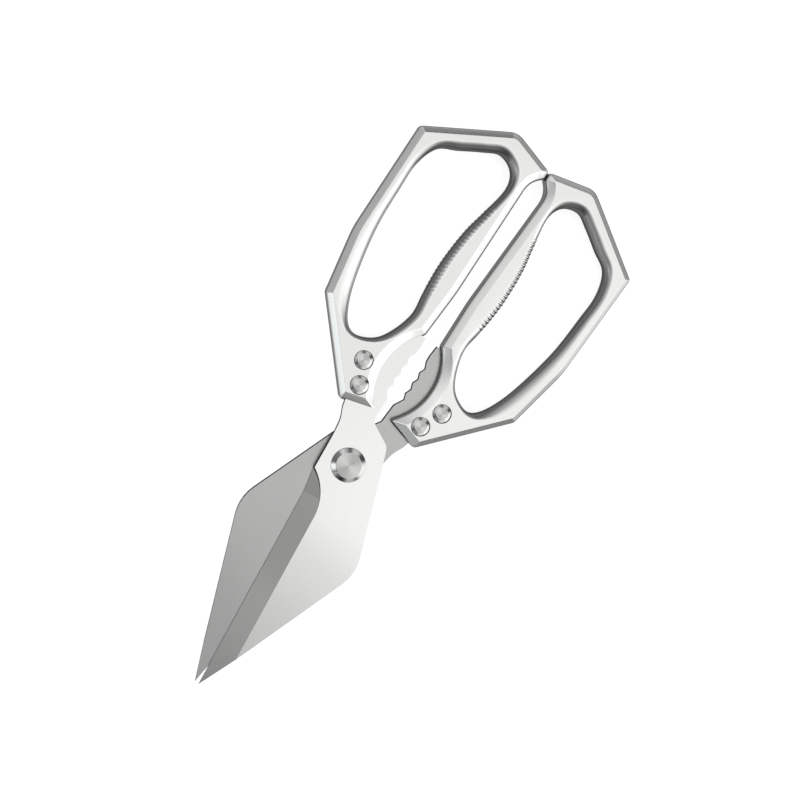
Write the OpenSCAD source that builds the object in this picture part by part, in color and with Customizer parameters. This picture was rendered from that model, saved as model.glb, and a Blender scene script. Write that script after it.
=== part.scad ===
// Kitchen shears with open bow handles, a toothed jaw between the handles and wide bevelled blades.
// X runs across the shears, Y runs from the pivot to the handles, Z is up from the flat back.
// The origin is on the pivot axis at the back face. All sizes are in millimetres.

/* [Overall] */
// Thickness of each handle, back face to front face
handle_t = 9; // [8.5:0.1:11]
// Thickness of each blade plate
blade_t = 2.5; // [2:0.1:2.8]
// Thickness of the washer that parts the two blades
washer_t = 0.3; // [0.2:0.05:0.5]

/* [Blade outline] */
// Pivot centre to the blade tip
blade_reach = 100.2; // [92:0.1:108]
// Width of the blunt tip
tip_w = 1.6; // [1:0.1:2.5]
// Centre line to the sharp corner that the shoulder is rounded from
shoulder_x = 26.5; // [22:0.1:28]
// Pivot centre down to that corner
shoulder_y = 32.8; // [28:0.1:38]
// Radius that rounds the shoulder
shoulder_r = 17.1; // [10:0.1:22]
// Centre line to the side of the neck beside the pivot
neck_x = 11.4; // [10:0.1:12.5]
// Pivot centre up to the narrowest part of the neck
neck_y = 7.3; // [6:0.1:9]
// Centre line to the heel of the cutting edge
heel_x = 10; // [8.8:0.1:10.4]
// Pivot centre down to the heel of the cutting edge
heel_y = 8.1; // [7.5:0.1:10]
// Centre line to the cutting edge where its curve near the heel ends
edge_x = 7.8; // [7:0.1:8.4]
// Pivot centre down to that place
edge_y = 17.7; // [15:0.1:21]
// Pivot centre up to the crotch between the two shanks
crotch_y = 18.2; // [17:0.1:19.5]
// Radius of the rounded shoulder of the shank beside the crotch
shank_r = 4; // [2:0.5:5]

/* [Bevel] */
// Width of the ground bevel, square to the cutting edge
bevel_w = 7.7; // [5:0.1:9]
// Height of the land left under the cutting edge
edge_land = 0.12; // [0.05:0.01:0.3]
// Radius of the arc in which the bevel runs out at the heel
runout_r = 20.4; // [16:0.1:26]
// Pivot centre down to where that arc begins
runout_y = 24.3; // [22:0.1:27]
// Lean of the wall that the run out leaves
runout_lean = 0.6; // [0.2:0.1:1.5]

/* [Jaw] */
// Half the jaw opening at the tips of the teeth
jaw_half = 3.3; // [2.8:0.1:4]
// Depth of the scallops between the teeth
tooth_depth = 0.9; // [0.4:0.05:1.2]
// Distance from one tooth to the next
tooth_pitch = 4.65; // [4:0.05:5]
// Number of teeth in each jaw
tooth_count = 3; // [2:1:3]
// Pivot centre up to the first scallop
tooth_start = 31.9; // [31:0.1:33]
// Half the gap between the shanks below the teeth
throat_half = 2.1; // [1.6:0.1:2.6]
// Half the gap at the smooth upper end of the jaw
jaw_end_half = 2.8; // [2.6:0.1:3.2]

/* [Handle outline] */
// Pivot centre to the sharp corner at the top of a handle
apex_y = 137.6; // [130:0.1:144]
// Centre line to that corner
apex_x = 18.4; // [15:0.1:22]
// Centre line to the outer top corner
corner_x = 49.8; // [46:0.1:54]
// Pivot centre to the outer top corner
corner_y = 118.2; // [112:0.1:120]
// Centre line to the knee of the outer side
knee_x = 48.8; // [46:0.1:49.5]
// Pivot centre to the knee of the outer side
knee_y = 73.6; // [66:0.1:80]
// Centre line to the lower outer corner
elbow_x = 43.9; // [41:0.1:45]
// Pivot centre to the lower outer corner
elbow_y = 48.3; // [46:0.1:52]
// Centre line to the lower corner of the collar that holds the blade
collar_x = 17.1; // [16:0.1:19]
// Pivot centre to the lower corner of the collar
collar_y = 18.8; // [18:0.1:20]
// Centre line to the inner point of the collar
point_x = 3.4; // [3:0.1:4.5]
// Pivot centre to the inner point of the collar
point_y = 22.6; // [21:0.1:23.5]
// Gap between the two noses, which stops the closing stroke
nose_gap = 0.3; // [0.2:0.05:1]
// Pivot centre to the top corner of the nose
nose_y = 132.7; // [128:0.1:133.2]
// Height of the nose where the handles meet
nose_h = 3.5; // [3:0.1:5]
// Half the gap between the handles at the grips
gap_half = 2.9; // [2.4:0.1:4]
// Amount by which that half gap grows from the knee to the outer top corner
gap_flare = 1.1; // [0.5:0.1:1.5]
// Pivot centre to the upper end of the jaw recess
recess_top = 56.2; // [54:0.1:58]
// Radius of the jaw recess
recess_r = 23.7; // [20:0.1:24]
// Centre line to the corner that the recess arc rounds
recess_x = 16.9; // [16:0.1:17.5]
// Pivot centre to that corner
recess_y = 40.4; // [39:0.1:41]

/* [Handle section] */
// Width of the chamfer along the outer edges
outer_chamfer = 2.4; // [1:0.1:2.8]
// Width of the chamfer along the gap
gap_chamfer = 3.2; // [1.5:0.1:3.3]
// Width of the chamfer round the jaw recess
recess_chamfer = 2.6; // [1.5:0.1:3]
// Height of every chamfer
chamfer_h = 2.1; // [1:0.1:3]
// Width of the rounding on the upper outer side and the grip side of the finger hole
hole_round = 3; // [1:0.1:3.2]
// Width of the rounding on the lower outer side of the finger hole
low_round = 5.2; // [2:0.1:5.4]
// Width of the rounding under the top bar
bar_round = 3.3; // [2:0.1:3.6]
// Width of the rounding at the bottom of the finger hole and under the nose
end_round = 2.2; // [1:0.1:2.3]
// Height of the rounding round the finger hole
hole_round_h = 3.6; // [2:0.1:4.2]

/* [Finger hole] */
// Pivot centre to the lowest point of the hole
hole_bottom = 41.7; // [41:0.1:45]
// Wall between the hole and the lower outer side
low_rim = 8.7; // [7.5:0.1:10]
// Wall between the hole and the upper outer side
high_rim = 6.7; // [6:0.1:8]
// Wall of the top bar, square to it
bar_w = 8.2; // [7:0.1:9.5]
// Width of the inner limb at its waist below the grip
waist_w = 9; // [8:0.1:10]
// Width of the inner limb at the grip
grip_w = 11.1; // [10:0.1:12.5]
// Width of the inner limb under the nose
neck_w = 5.6; // [5.4:0.1:6.5]

/* [Grip ribs] */
// Distance from one grip rib to the next
rib_pitch = 1.7; // [1.4:0.1:2.4]
// Height of the grip ribs
rib_h = 0.4; // [0.1:0.05:0.6]
// Number of grip ribs in each handle
rib_count = 24; // [12:1:26]
// Pivot centre to the first rib
rib_start = 69.5; // [66:0.1:72]

/* [Rivets] */
// Centre line to the upper rivet
upper_rivet_x = 18.1; // [17:0.1:19]
// Pivot centre to the upper rivet
upper_rivet_y = 35.6; // [34:0.1:36]
// Centre line to the lower rivet
lower_rivet_x = 14.1; // [13:0.1:15]
// Pivot centre to the lower rivet
lower_rivet_y = 27.1; // [26:0.1:28]
// Diameter of the rivet heads
rivet_head_d = 7.1; // [6:0.1:7.6]
// Depth that a rivet head is let into the handle
rivet_seat = 1.2; // [0.8:0.1:1.6]
// Height that the front rivet heads stand above the handle
rivet_proud = 0.35; // [0.1:0.05:0.6]
// Width of the bevel round a front rivet head
rivet_bevel = 1.2; // [0.4:0.1:1.5]
// Height of that bevel
rivet_bevel_h = 0.6; // [0.3:0.05:1]
// Outer diameter of the rivet sleeve
sleeve_d = 4.4; // [3.8:0.1:5]
// Diameter of the rivet pin inside the sleeve
pin_d = 2.8; // [2:0.1:3.2]

/* [Pivot] */
// Diameter of the pivot heads
pivot_head_d = 13.2; // [12:0.1:15]
// Width of the bevel round the front pivot head
pivot_bevel = 1.7; // [0.8:0.1:2]
// Diameter of the pivot barrel that the blades turn on
barrel_d = 8; // [7:0.1:9]
// Diameter of the screw inside the barrel
screw_d = 5; // [4:0.1:5.6]
// Distance between the two spanner holes in the screw head
spanner_pitch = 7; // [6.6:0.1:8]

/* [Fits] */
// Radial clearance of the blade that turns on the barrel
running_fit = 0.05; // [0.02:0.01:0.1]
// Radial clearance of parts that are clamped or pressed
close_fit = 0.02; // [0.01:0.01:0.05]
// Clearance round the shank in its slot
slot_fit = 0.1; // [0.05:0.05:0.2]

/* [Hidden] */
$fn = 96;

// Allowance by which a cutter overshoots the face it cuts
over = 1;
steel = "gainsboro";
alloy = "silver";
mid_z = handle_t / 2;
// Distance from the middle plane to the inner and outer face of a blade
inner_z = washer_t / 2;
outer_z = inner_z + blade_t;

// Largest turn between neighbouring points on a rounded corner
arc_step = 9;

// Plane helpers for outlines made of corner points
function unit(v) = v / norm(v);
function left_of(v) = [-v[1], v[0]];
function cross2(a, b) = a[0] * b[1] - a[1] * b[0];
function wrap(list, i) = list[(i + len(list)) % len(list)];
function xy(p) = [p[0], p[1]];
function lerp(a, b, t) = a + (b - a) * t;

// Turn of the outline at corner i in degrees, positive to the left
function turn(p, i) =
    let (a = xy(p[i]) - xy(wrap(p, i - 1)), b = xy(wrap(p, i + 1)) - xy(p[i]))
    atan2(cross2(a, b), a * b);

// Corner i moved inwards, when the edge before it moves by da and the edge after it by db
function mitre(p, i, da, db) =
    let (
        a = unit(xy(p[i]) - xy(wrap(p, i - 1))),
        b = unit(xy(wrap(p, i + 1)) - xy(p[i])),
        s = cross2(a, b)
    )
    xy(p[i]) + (b * da - a * db) / s;

// Corner outline [x, y, radius, inset of the edge that starts here], inset by a share k
function inset(p, k) = [
    for (i = [0 : len(p) - 1])
        let (
            q = mitre(p, i, k * wrap(p, i - 1)[3], k * p[i][3]),
            r = turn(p, i) > 0 ? p[i][2] - k * p[i][3] : p[i][2] + k * p[i][3]
        )
        [q[0], q[1], max(r, 0.4), p[i][3]]
];

// Length that the rounding of corner i takes from each of its edges, as far as they allow
function reach_at(p, i) =
    let (room = min(norm(xy(p[i]) - xy(wrap(p, i - 1))), norm(xy(wrap(p, i + 1)) - xy(p[i]))))
    min(p[i][2] * tan(abs(turn(p, i)) / 2), (p[i][2] > 5 ? 0.96 : 0.4) * room);

// Outline with each corner replaced by an arc of its radius, and each straight cut into parts
function rounded(p, parts = []) = [
    for (i = [0 : len(p) - 1])
        let (
            c = xy(p[i]),
            a = unit(c - xy(wrap(p, i - 1))),
            b = unit(xy(wrap(p, i + 1)) - c),
            bend = turn(p, i),
            reach = reach_at(p, i),
            r = reach / tan(abs(bend) / 2),
            n = max(2, ceil(abs(bend) / arc_step)),
            centre = c - a * reach + left_of(a) * r * sign(bend),
            next = (i + 1) % len(p),
            start = c + b * reach,
            end = xy(p[next]) - b * reach_at(p, next),
            m = len(parts) > 0 ? parts[i] : 1
        )
        for (q = concat(
            [for (k = [0 : n]) let (w = bend * k / n) centre - sign(bend) * r * (left_of(a) * cos(w) - a * sin(w))],
            [for (k = [1 : 1 : m - 1]) lerp(start, end, k / m)]
        ))
            q
];

// Point at parameter t on a closed smooth curve through the points p
function curve(p, t) =
    let (
        i = floor(t),
        u = t - i,
        a = wrap(p, i - 1),
        b = wrap(p, i),
        c = wrap(p, i + 1),
        d = wrap(p, i + 2)
    )
    0.5 * (2 * b + (c - a) * u + (2 * a - 5 * b + 4 * c - d) * u * u + (3 * b - a - 3 * c + d) * u * u * u);

// Blade plate seen from the front, with its shank to the upper left
crotch_half = 0.4;
tip_x = tip_w / 2;
jaw_end_y = recess_top - 0.7;
tooth_last = tooth_start + tooth_count * tooth_pitch;
jaw_line = concat(
    [[-crotch_half, crotch_y, 0.3], [-throat_half + 0.3, crotch_y + 2.1, 1.5], [-throat_half, tooth_start - 3.8, 2]],
    [
        for (k = [0 : tooth_count])
            let (y = tooth_start + k * tooth_pitch)
            for (p = [
                [-jaw_half - tooth_depth, y, 0.7],
                if (k < tooth_count) [-jaw_half, y + tooth_pitch / 2, 0.6]
            ])
                p
    ],
    [[-jaw_end_half - 0.2, tooth_last + 2.6, 2], [-jaw_end_half, tooth_last + 5.2, 3]]
);
// Shank inside the handle, from the top of the jaw round to the collar
shank_line = [
    [-jaw_end_half - 0.3, jaw_end_y, 0.4],
    [-gap_x(recess_top) - waist_w + 1.4, recess_top - 1.4, 1.5],
    [-gap_x(recess_top) - waist_w - 1, recess_top - 8, 6],
    [-upper_rivet_x + 2.6, hole_bottom + 0.6, 2],
    [-upper_rivet_x - 3.4, hole_bottom - 3.2, 3],
    [-upper_rivet_x - 3.2, upper_rivet_y - 4, 3],
    [-collar_x + 1.8, collar_y + 1.8, 2]
];
neck_line = [
    [-collar_x + 2.8, collar_y - 1.9, 4],
    [-neck_x - 0.9, neck_y + 5.4, 9],
    [-neck_x, neck_y, 12]
];
edge_line = [
    [-heel_x, -heel_y, 0.4],
    [-edge_x, -edge_y, 40],
    [-tip_x + 1.5, -blade_reach + 0.9, 0.5],
    [tip_x, -blade_reach, 0.5]
];
spine_line = [
    [shoulder_x, -shoulder_y, shoulder_r],
    [neck_x, neck_y - 1, 6],
    [neck_x - 3.2, crotch_y - 4.4, shank_r]
];
blade_corners = concat(edge_line, spine_line, jaw_line, shank_line, neck_line);

// Cutting edge of the front blade: the straight part, and the part that bends out to the heel
edge_end = [-tip_x + 1.5, -blade_reach + 0.9];
edge_mid = [-edge_x, -edge_y];
edge_heel = [-heel_x, -heel_y];

// Everything above a bevel plane that rises from the line between two points of the edge
module above_bevel(low, high) {
    run = high - low;
    span = 2 * blade_reach;
    translate([low[0], low[1], inner_z + edge_land])
        rotate([0, 0, atan2(run[1], run[0]) - 90])
            rotate([0, -atan((blade_t - edge_land) / bevel_w), 0])
                translate([-span / 2, -span / 2, 0])
                    cube([span, span, span / 2]);
}

// Bevel of the front blade, which runs out in an arc at the heel
module bevel_cutter() {
    run = edge_mid - edge_end;
    begin = (edge_mid[1] + runout_y) / unit(run)[1];
    intersection() {
        above_bevel(edge_end, edge_mid);
        above_bevel(edge_mid, edge_heel);
        translate([edge_mid[0], edge_mid[1], 0])
            rotate([0, 0, atan2(run[1], run[0]) - 90])
                union() {
                    translate([bevel_w - runout_r, -begin, 0])
                        cylinder(r1 = runout_r - runout_lean, r2 = runout_r + runout_lean, h = 2 * outer_z);
                    translate([bevel_w - runout_r, -begin - blade_reach, 0])
                        cube([runout_r + over, blade_reach, 2 * outer_z]);
                }
    }
}

// Blade with its inner face just above the middle plane
module blade_body(pivot_fit) {
    difference() {
        translate([0, 0, inner_z])
            linear_extrude(blade_t)
                polygon(rounded(blade_corners));
        bevel_cutter();
        translate([0, 0, -over])
            cylinder(d = barrel_d + 2 * pivot_fit, h = outer_z + 2 * over);
        for (p = [[-upper_rivet_x, upper_rivet_y], [-lower_rivet_x, lower_rivet_y]])
            translate([p[0], p[1], -over])
                cylinder(d = sleeve_d + 2 * close_fit, h = outer_z + 2 * over);
    }
}

// Turns a piece over about the Y axis of the middle plane
module turned_over() {
    translate([0, 0, mid_z])
        rotate([0, 180, 0])
            children();
}

module front_blade() {
    color(steel)
        translate([0, 0, mid_z])
            blade_body(close_fit);
}

module rear_blade() {
    color(steel)
        turned_over()
            blade_body(running_fit);
}

// Outline of the right handle: x, y, radius and chamfer width of the edge that starts there
nose_x = nose_gap / 2;
handle_corners = [
    [point_x, point_y, 1, outer_chamfer],
    [collar_x, collar_y, 2, outer_chamfer],
    [elbow_x, elbow_y, 2.5, outer_chamfer],
    [knee_x, knee_y, 40, outer_chamfer],
    [corner_x, corner_y, 1.6, outer_chamfer],
    [apex_x, apex_y, 7, outer_chamfer],
    [nose_x, nose_y, 1.8, gap_chamfer],
    [nose_x, nose_y - nose_h, 1.4, gap_chamfer],
    [gap_half + gap_flare + 0.1, nose_y - nose_h - 3.8, 3, gap_chamfer],
    [gap_half, knee_y + 2, 90, gap_chamfer],
    [gap_half + 0.8, recess_top, 2, recess_chamfer],
    [recess_x, recess_y, recess_r, recess_chamfer]
];

// Places on the two long sides of a handle at a height y
function side_x(y) = y < knee_y
    ? lerp(elbow_x, knee_x, (y - elbow_y) / (knee_y - elbow_y))
    : lerp(knee_x, corner_x, (y - knee_y) / (corner_y - knee_y));
function gap_x(y) = gap_half + gap_flare * max(0, (y - knee_y) / (corner_y - knee_y));
bar_dir = unit([apex_x, apex_y] - [corner_x, corner_y]);
function under_bar(t) = lerp([corner_x, corner_y], [apex_x, apex_y], t) + left_of(bar_dir) * bar_w;

// Heights of the points that set the outer side and the grip side of the finger hole
outer_side_y = [52.5, 65, 80, 95, 106];
grip_side_y = [107, 96, 82, 69, 60, 51];

// Finger hole, as points on a smooth closed curve, each with the width of the rounding there
hole_mid = (collar_x + elbow_x) / 2 - 4.9;
function outer_side(i, wall, round_w) = [side_x(outer_side_y[i]) - wall, outer_side_y[i], round_w];
function grip_side(i, wall, round_w) = [gap_x(grip_side_y[i]) + wall, grip_side_y[i], round_w];
hole_points = [
    [hole_mid, hole_bottom, end_round],
    [hole_mid + 5.7, hole_bottom + 2.1, lerp(end_round, low_round, 0.4)],
    outer_side(0, low_rim + 0.1, low_round),
    outer_side(1, low_rim - 0.5, low_round),
    outer_side(2, high_rim + 0.5, lerp(low_round, hole_round, 0.6)),
    outer_side(3, high_rim - 0.1, hole_round),
    outer_side(4, high_rim, hole_round),
    concat(under_bar(0.185), hole_round),
    concat(under_bar(0.41), bar_round),
    concat(under_bar(0.66), bar_round),
    concat(under_bar(0.84) - [0.6, 0.5], bar_round),
    [gap_x(corner_y) + neck_w + 2.6, under_bar(0.84)[1] - 2.9, lerp(end_round, bar_round, 0.7)],
    [gap_x(corner_y) + neck_w, corner_y + 0.2, end_round],
    grip_side(0, lerp(neck_w, grip_w, 0.36), lerp(end_round, hole_round, 0.6)),
    grip_side(1, lerp(neck_w, grip_w, 0.78), hole_round),
    grip_side(2, grip_w - 0.1, hole_round),
    grip_side(3, lerp(waist_w, grip_w, 0.6), hole_round),
    grip_side(4, waist_w + 0.2, lerp(end_round, hole_round, 0.5)),
    grip_side(5, waist_w + 2.7, end_round),
    [hole_mid - 6.9, hole_bottom + 3.1, end_round]
];

// Stations round the hole: evenly spaced, with two for every rib along the grip
dense_steps = 14;
dense = [for (k = [0 : len(hole_points) * dense_steps]) curve(hole_points, k / dense_steps)];
steps_along = [for (k = [1 : len(dense) - 1]) norm(xy(dense[k]) - xy(dense[k - 1]))];
function running(list, i = 0, total = 0) =
    i < len(list) ? concat([total], running(list, i + 1, total + list[i])) : [total];
lengths = running(steps_along);
hole_girth = lengths[len(lengths) - 1];
function find_step(s, lo = 0, hi = len(dense) - 1) =
    hi - lo < 2 ? lo : let (m = floor((lo + hi) / 2)) lengths[m] <= s ? find_step(s, m, hi) : find_step(s, lo, m);
function along(s) =
    let (w = s % hole_girth, k = find_step(w))
    lerp(dense[k], dense[k + 1], (w - lengths[k]) / (lengths[k + 1] - lengths[k]));
// Length at which the grip side passes a height y, going down from the nose
grip_first = 12 * dense_steps;
function passing(y, k = grip_first) = dense[k][1] > y ? passing(y, k + 1) : lengths[k];
rib_end_s = passing(rib_start);
rib_begin_s = rib_end_s - rib_count * rib_pitch;
plain_step = 2.3;
plain_n = round((hole_girth - (rib_end_s - rib_begin_s)) / plain_step);
stations = concat(
    [for (k = [0 : 2 * rib_count]) [rib_begin_s + k * rib_pitch / 2, k % 2 == 1 ? rib_h : 0]],
    [for (k = [1 : plain_n - 1]) [rib_end_s + k * (hole_girth - (rib_end_s - rib_begin_s)) / plain_n, 0]]
);

// One ring of the hole wall: out is the share of the rounding width, rib the share of the rib height
function hole_ring(z, out, rib) = [
    for (s = stations)
        let (
            p = along(s[0] + hole_girth),
            ahead = xy(along(s[0] + hole_girth + 0.6)),
            behind = xy(along(s[0] + hole_girth - 0.6)),
            away = -left_of(unit(ahead - behind)),
            q = xy(p) + away * (p[2] * out - s[1] * rib)
        )
        [q[0], q[1], z]
];
round_steps = 4;
hole_levels = concat(
    [for (k = [0 : round_steps]) let (w = 90 * k / round_steps) [hole_round_h * (1 - cos(w)), 1 - sin(w)]],
    [for (k = [round_steps : -1 : 0]) let (w = 90 * k / round_steps) [handle_t - hole_round_h * (1 - cos(w)), 1 - sin(w)]]
);
outer_levels = [[0, 1], [chamfer_h, 0], [handle_t - chamfer_h, 0], [handle_t, 1]];

// Way round a handle at a point: along a spine inside the hole on the sides, and by angle past its ends
spine_low = [hole_mid + 2.6, hole_bottom + 6.6];
spine_high = [hole_mid - 3.4, corner_y - 3.3];
spine_l = norm(spine_high - spine_low);
half_turn = 180;
spine_up = unit(spine_high - spine_low);
function angle_at(p, hub) = atan2((p - hub) * spine_up, (hub - p) * left_of(spine_up));
function bearing(p) =
    let (q = xy(p), t = (q - spine_low) * spine_up, left = (q - spine_low) * left_of(spine_up) > 0)
    t < 0
        ? 2 * spine_l + 2 * half_turn + angle_at(q, spine_low)
        : t > spine_l ? spine_l + angle_at(q, spine_high) : left ? 2 * spine_l + half_turn - t : t;
function first_low(b, i = 0) = b[i] < wrap(b, i - 1) ? i : first_low(b, i + 1);
function spun(ring, i0) = [for (i = [0 : len(ring) - 1]) wrap(ring, i + i0)];
function last_below(list, w, or_equal) =
    let (n = len([for (a = list) if (a < w || (or_equal && a == w)) 1])) (n - 1 + len(list)) % len(list);
// Triangles between loop a and loop b of one flat face, in the order of their bearings
function flat_faces(a, b, ia, ib, up) =
    let (
        wa = [for (p = a) bearing(p)],
        wb = [for (p = b) bearing(p)],
        na = len(a),
        nb = len(b),
        tri = concat(
            [for (i = [0 : na - 1]) [ia + i, ia + (i + 1) % na, ib + last_below(wb, wrap(wa, i + 1), false)]],
            [for (j = [0 : nb - 1]) [ib + (j + 1) % nb, ib + j, ia + last_below(wa, wrap(wb, j + 1), true)]]
        )
    )
    up ? [for (t = tri) [t[0], t[2], t[1]]] : tri;
function wall_faces(i0, n, rows, flip) = [
    for (r = [0 : rows - 2])
        for (i = [0 : n - 1])
            let (a = i0 + r * n + i, b = i0 + r * n + (i + 1) % n)
            for (f = [[a, a + n, b + n], [a, b + n, b]])
                flip ? [f[0], f[2], f[1]] : f
];

// Length of the parts that the straight edges of a handle are cut into
straight_step = 5;

module handle_solid() {
    base = inset(handle_corners, 0);
    slim = inset(handle_corners, 1);
    parts = [for (i = [0 : len(base) - 1]) max(1, floor(norm(xy(wrap(base, i + 1)) - xy(base[i])) / straight_step))];
    wall = rounded(base, parts);
    face = rounded(slim, parts);
    i_wall = first_low([for (p = face) bearing(p)]);
    outer = [for (l = outer_levels) [for (p = spun(l[1] == 1 ? face : wall, i_wall)) [p[0], p[1], l[0]]]];
    ring0 = hole_ring(0, 1, 0);
    i_hole = first_low([for (p = ring0) bearing(p)]);
    inner = [for (l = hole_levels) spun(hole_ring(l[0], l[1], 1 - l[1]), i_hole)];
    no = len(face);
    nh = len(ring0);
    first_inner = 4 * no;
    last_inner = first_inner + (len(inner) - 1) * nh;
    points = concat([for (r = outer) for (p = r) p], [for (r = inner) for (p = r) p]);
    faces = concat(
        wall_faces(0, no, 4, false),
        wall_faces(first_inner, nh, len(inner), true),
        flat_faces(outer[0], inner[0], 0, first_inner, false),
        flat_faces(outer[3], inner[len(inner) - 1], 3 * no, last_inner, true)
    );
    polyhedron(points, faces, convexity = 6);
}

// Slot for the shank, open at the jaw and at the collar, drawn on the left as the shank is
slot_corners = [
    [-jaw_end_half - 0.3, jaw_end_y + slot_fit, 0.4],
    [for (v = shank_line[1]) v] + [-slot_fit, slot_fit, 0],
    [for (v = shank_line[2]) v] + [-slot_fit, 0, 0],
    [for (v = shank_line[3]) v] + [0, slot_fit, 0],
    [for (v = shank_line[4]) v] + [-slot_fit, slot_fit, 0],
    [for (v = shank_line[5]) v] + [-slot_fit, 0, 0],
    [for (v = shank_line[6]) v] + [-slot_fit, 0, 0],
    [-collar_x + 2.6 - slot_fit, collar_y - 4, 0.5],
    [over, collar_y - 4, 0.5],
    [over, jaw_end_y + slot_fit, 0.5]
];

// Right handle, which carries the rear blade below the middle plane
module handle_body() {
    difference() {
        handle_solid();
        translate([0, 0, mid_z - outer_z - close_fit])
            linear_extrude(blade_t + 2 * close_fit)
                mirror([1, 0])
                    polygon(rounded(slot_corners));
        for (p = [[upper_rivet_x, upper_rivet_y], [lower_rivet_x, lower_rivet_y]])
            translate([p[0], p[1], 0]) {
                translate([0, 0, -over])
                    cylinder(d = sleeve_d + 2 * close_fit, h = handle_t + 2 * over);
                for (z = [-over, handle_t - rivet_seat])
                    translate([0, 0, z])
                        cylinder(d = rivet_head_d + 2 * slot_fit, h = rivet_seat + over);
            }
    }
}

module right_handle() {
    color(alloy)
        handle_body();
}

module left_handle() {
    color(alloy)
        translate([0, 0, mid_z])
            turned_over()
                handle_body();
}

// Sleeve half of a two piece rivet, with the front head
module rivet_sleeve(x, y) {
    color(steel)
        translate([x, y, 0])
            rotate_extrude()
                polygon([
                    [pin_d / 2 + close_fit, rivet_seat],
                    [sleeve_d / 2, rivet_seat],
                    [sleeve_d / 2, handle_t - rivet_seat],
                    [rivet_head_d / 2, handle_t - rivet_seat],
                    [rivet_head_d / 2, handle_t + rivet_proud - rivet_bevel_h],
                    [rivet_head_d / 2 - rivet_bevel, handle_t + rivet_proud],
                    [0, handle_t + rivet_proud],
                    [0, handle_t - rivet_seat - 0.6],
                    [pin_d / 2 + close_fit, handle_t - rivet_seat - 0.6]
                ]);
}

// Pin half of a two piece rivet, with the back head
module rivet_pin(x, y) {
    crown = 0.3;
    color(steel)
        translate([x, y, 0])
            rotate_extrude()
                polygon([
                    [0, 0],
                    [rivet_head_d / 2 - crown, 0],
                    [rivet_head_d / 2, crown],
                    [rivet_head_d / 2, rivet_seat],
                    [pin_d / 2, rivet_seat],
                    [pin_d / 2, handle_t - rivet_seat - 1],
                    [0, handle_t - rivet_seat - 1]
                ]);
}

// Front half of the pivot: a bevelled head on a barrel that both blades sit on
module pivot_barrel() {
    face = mid_z + outer_z;
    rim = 0.5;
    color(steel)
        rotate_extrude()
            polygon([
                [screw_d / 2 + close_fit, mid_z - outer_z],
                [barrel_d / 2, mid_z - outer_z],
                [barrel_d / 2, face],
                [pivot_head_d / 2, face],
                [pivot_head_d / 2, face + rim],
                [pivot_head_d / 2 - pivot_bevel, handle_t],
                [0, handle_t],
                [0, face + 0.6],
                [screw_d / 2 + close_fit, face + 0.6]
            ]);
}

// Back half of the pivot: a screw with a flat head that lies in the plane of the handles' backs
module pivot_screw() {
    hole_d = 1.8;
    bevel = 0.6;
    color(steel)
        difference() {
            rotate_extrude()
                polygon([
                    [0, 0],
                    [pivot_head_d / 2 - bevel, 0],
                    [pivot_head_d / 2, bevel],
                    [pivot_head_d / 2, mid_z - outer_z],
                    [screw_d / 2, mid_z - outer_z],
                    [screw_d / 2, mid_z + outer_z],
                    [0, mid_z + outer_z]
                ]);
            for (side = [-1, 1])
                translate([side * spanner_pitch / 2, 0, -over])
                    cylinder(d = hole_d, h = over + 1.4);
        }
}

module pivot_washer() {
    color("dimgray")
        translate([0, 0, mid_z - washer_t / 2])
            difference() {
                cylinder(d = pivot_head_d - 0.8, h = washer_t);
                translate([0, 0, -over])
                    cylinder(d = barrel_d + 2 * running_fit, h = washer_t + 2 * over);
            }
}

front_blade();
rear_blade();
left_handle();
right_handle();
pivot_barrel();
pivot_screw();
pivot_washer();
rivet_sleeve(-upper_rivet_x, upper_rivet_y);  // left_upper_rivet_sleeve
rivet_pin(-upper_rivet_x, upper_rivet_y);  // left_upper_rivet_pin
rivet_sleeve(-lower_rivet_x, lower_rivet_y);  // left_lower_rivet_sleeve
rivet_pin(-lower_rivet_x, lower_rivet_y);  // left_lower_rivet_pin
rivet_sleeve(upper_rivet_x, upper_rivet_y);  // right_upper_rivet_sleeve
rivet_pin(upper_rivet_x, upper_rivet_y);  // right_upper_rivet_pin
rivet_sleeve(lower_rivet_x, lower_rivet_y);  // right_lower_rivet_sleeve
rivet_pin(lower_rivet_x, lower_rivet_y);  // right_lower_rivet_pin
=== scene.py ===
# %% [markdown]
# # Kitchen shears
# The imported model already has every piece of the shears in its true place: two blades, two cast
# handles, the pivot and four rivets. Here each piece gets the surface of the real one. All numbers
# are in metres, so sizes are written in millimetres and multiplied by MM, and every new piece goes
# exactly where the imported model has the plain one. THICK is how thick the handles are.

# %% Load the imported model
import bisect
import math

import bmesh
import bpy
from mathutils import Matrix, Vector


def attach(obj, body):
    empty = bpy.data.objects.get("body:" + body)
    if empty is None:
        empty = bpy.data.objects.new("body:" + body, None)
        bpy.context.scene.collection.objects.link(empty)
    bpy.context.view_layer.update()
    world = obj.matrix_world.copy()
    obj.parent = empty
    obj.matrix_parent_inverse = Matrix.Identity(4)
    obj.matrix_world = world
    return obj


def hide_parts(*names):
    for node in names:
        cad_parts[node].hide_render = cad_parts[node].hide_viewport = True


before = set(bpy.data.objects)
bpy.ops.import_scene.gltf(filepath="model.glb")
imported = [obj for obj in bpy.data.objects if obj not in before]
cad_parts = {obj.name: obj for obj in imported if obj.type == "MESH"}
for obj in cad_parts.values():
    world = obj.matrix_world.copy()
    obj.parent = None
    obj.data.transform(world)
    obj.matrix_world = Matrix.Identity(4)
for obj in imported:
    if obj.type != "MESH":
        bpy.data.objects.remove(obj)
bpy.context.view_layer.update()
MM = 0.001
THICK = 9.0
MIDDLE = THICK / 2
print("nodes:", sorted(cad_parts))

# %% [markdown]
# ## Camera
# The photograph looks down on the shears from a little to the left, with the tip pointing to the
# lower left. A camera has three axes: right, up and backward. Turning the object by three angles
# and looking along the last axis gives the same picture, so the rows of that turn are the axes.

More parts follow.
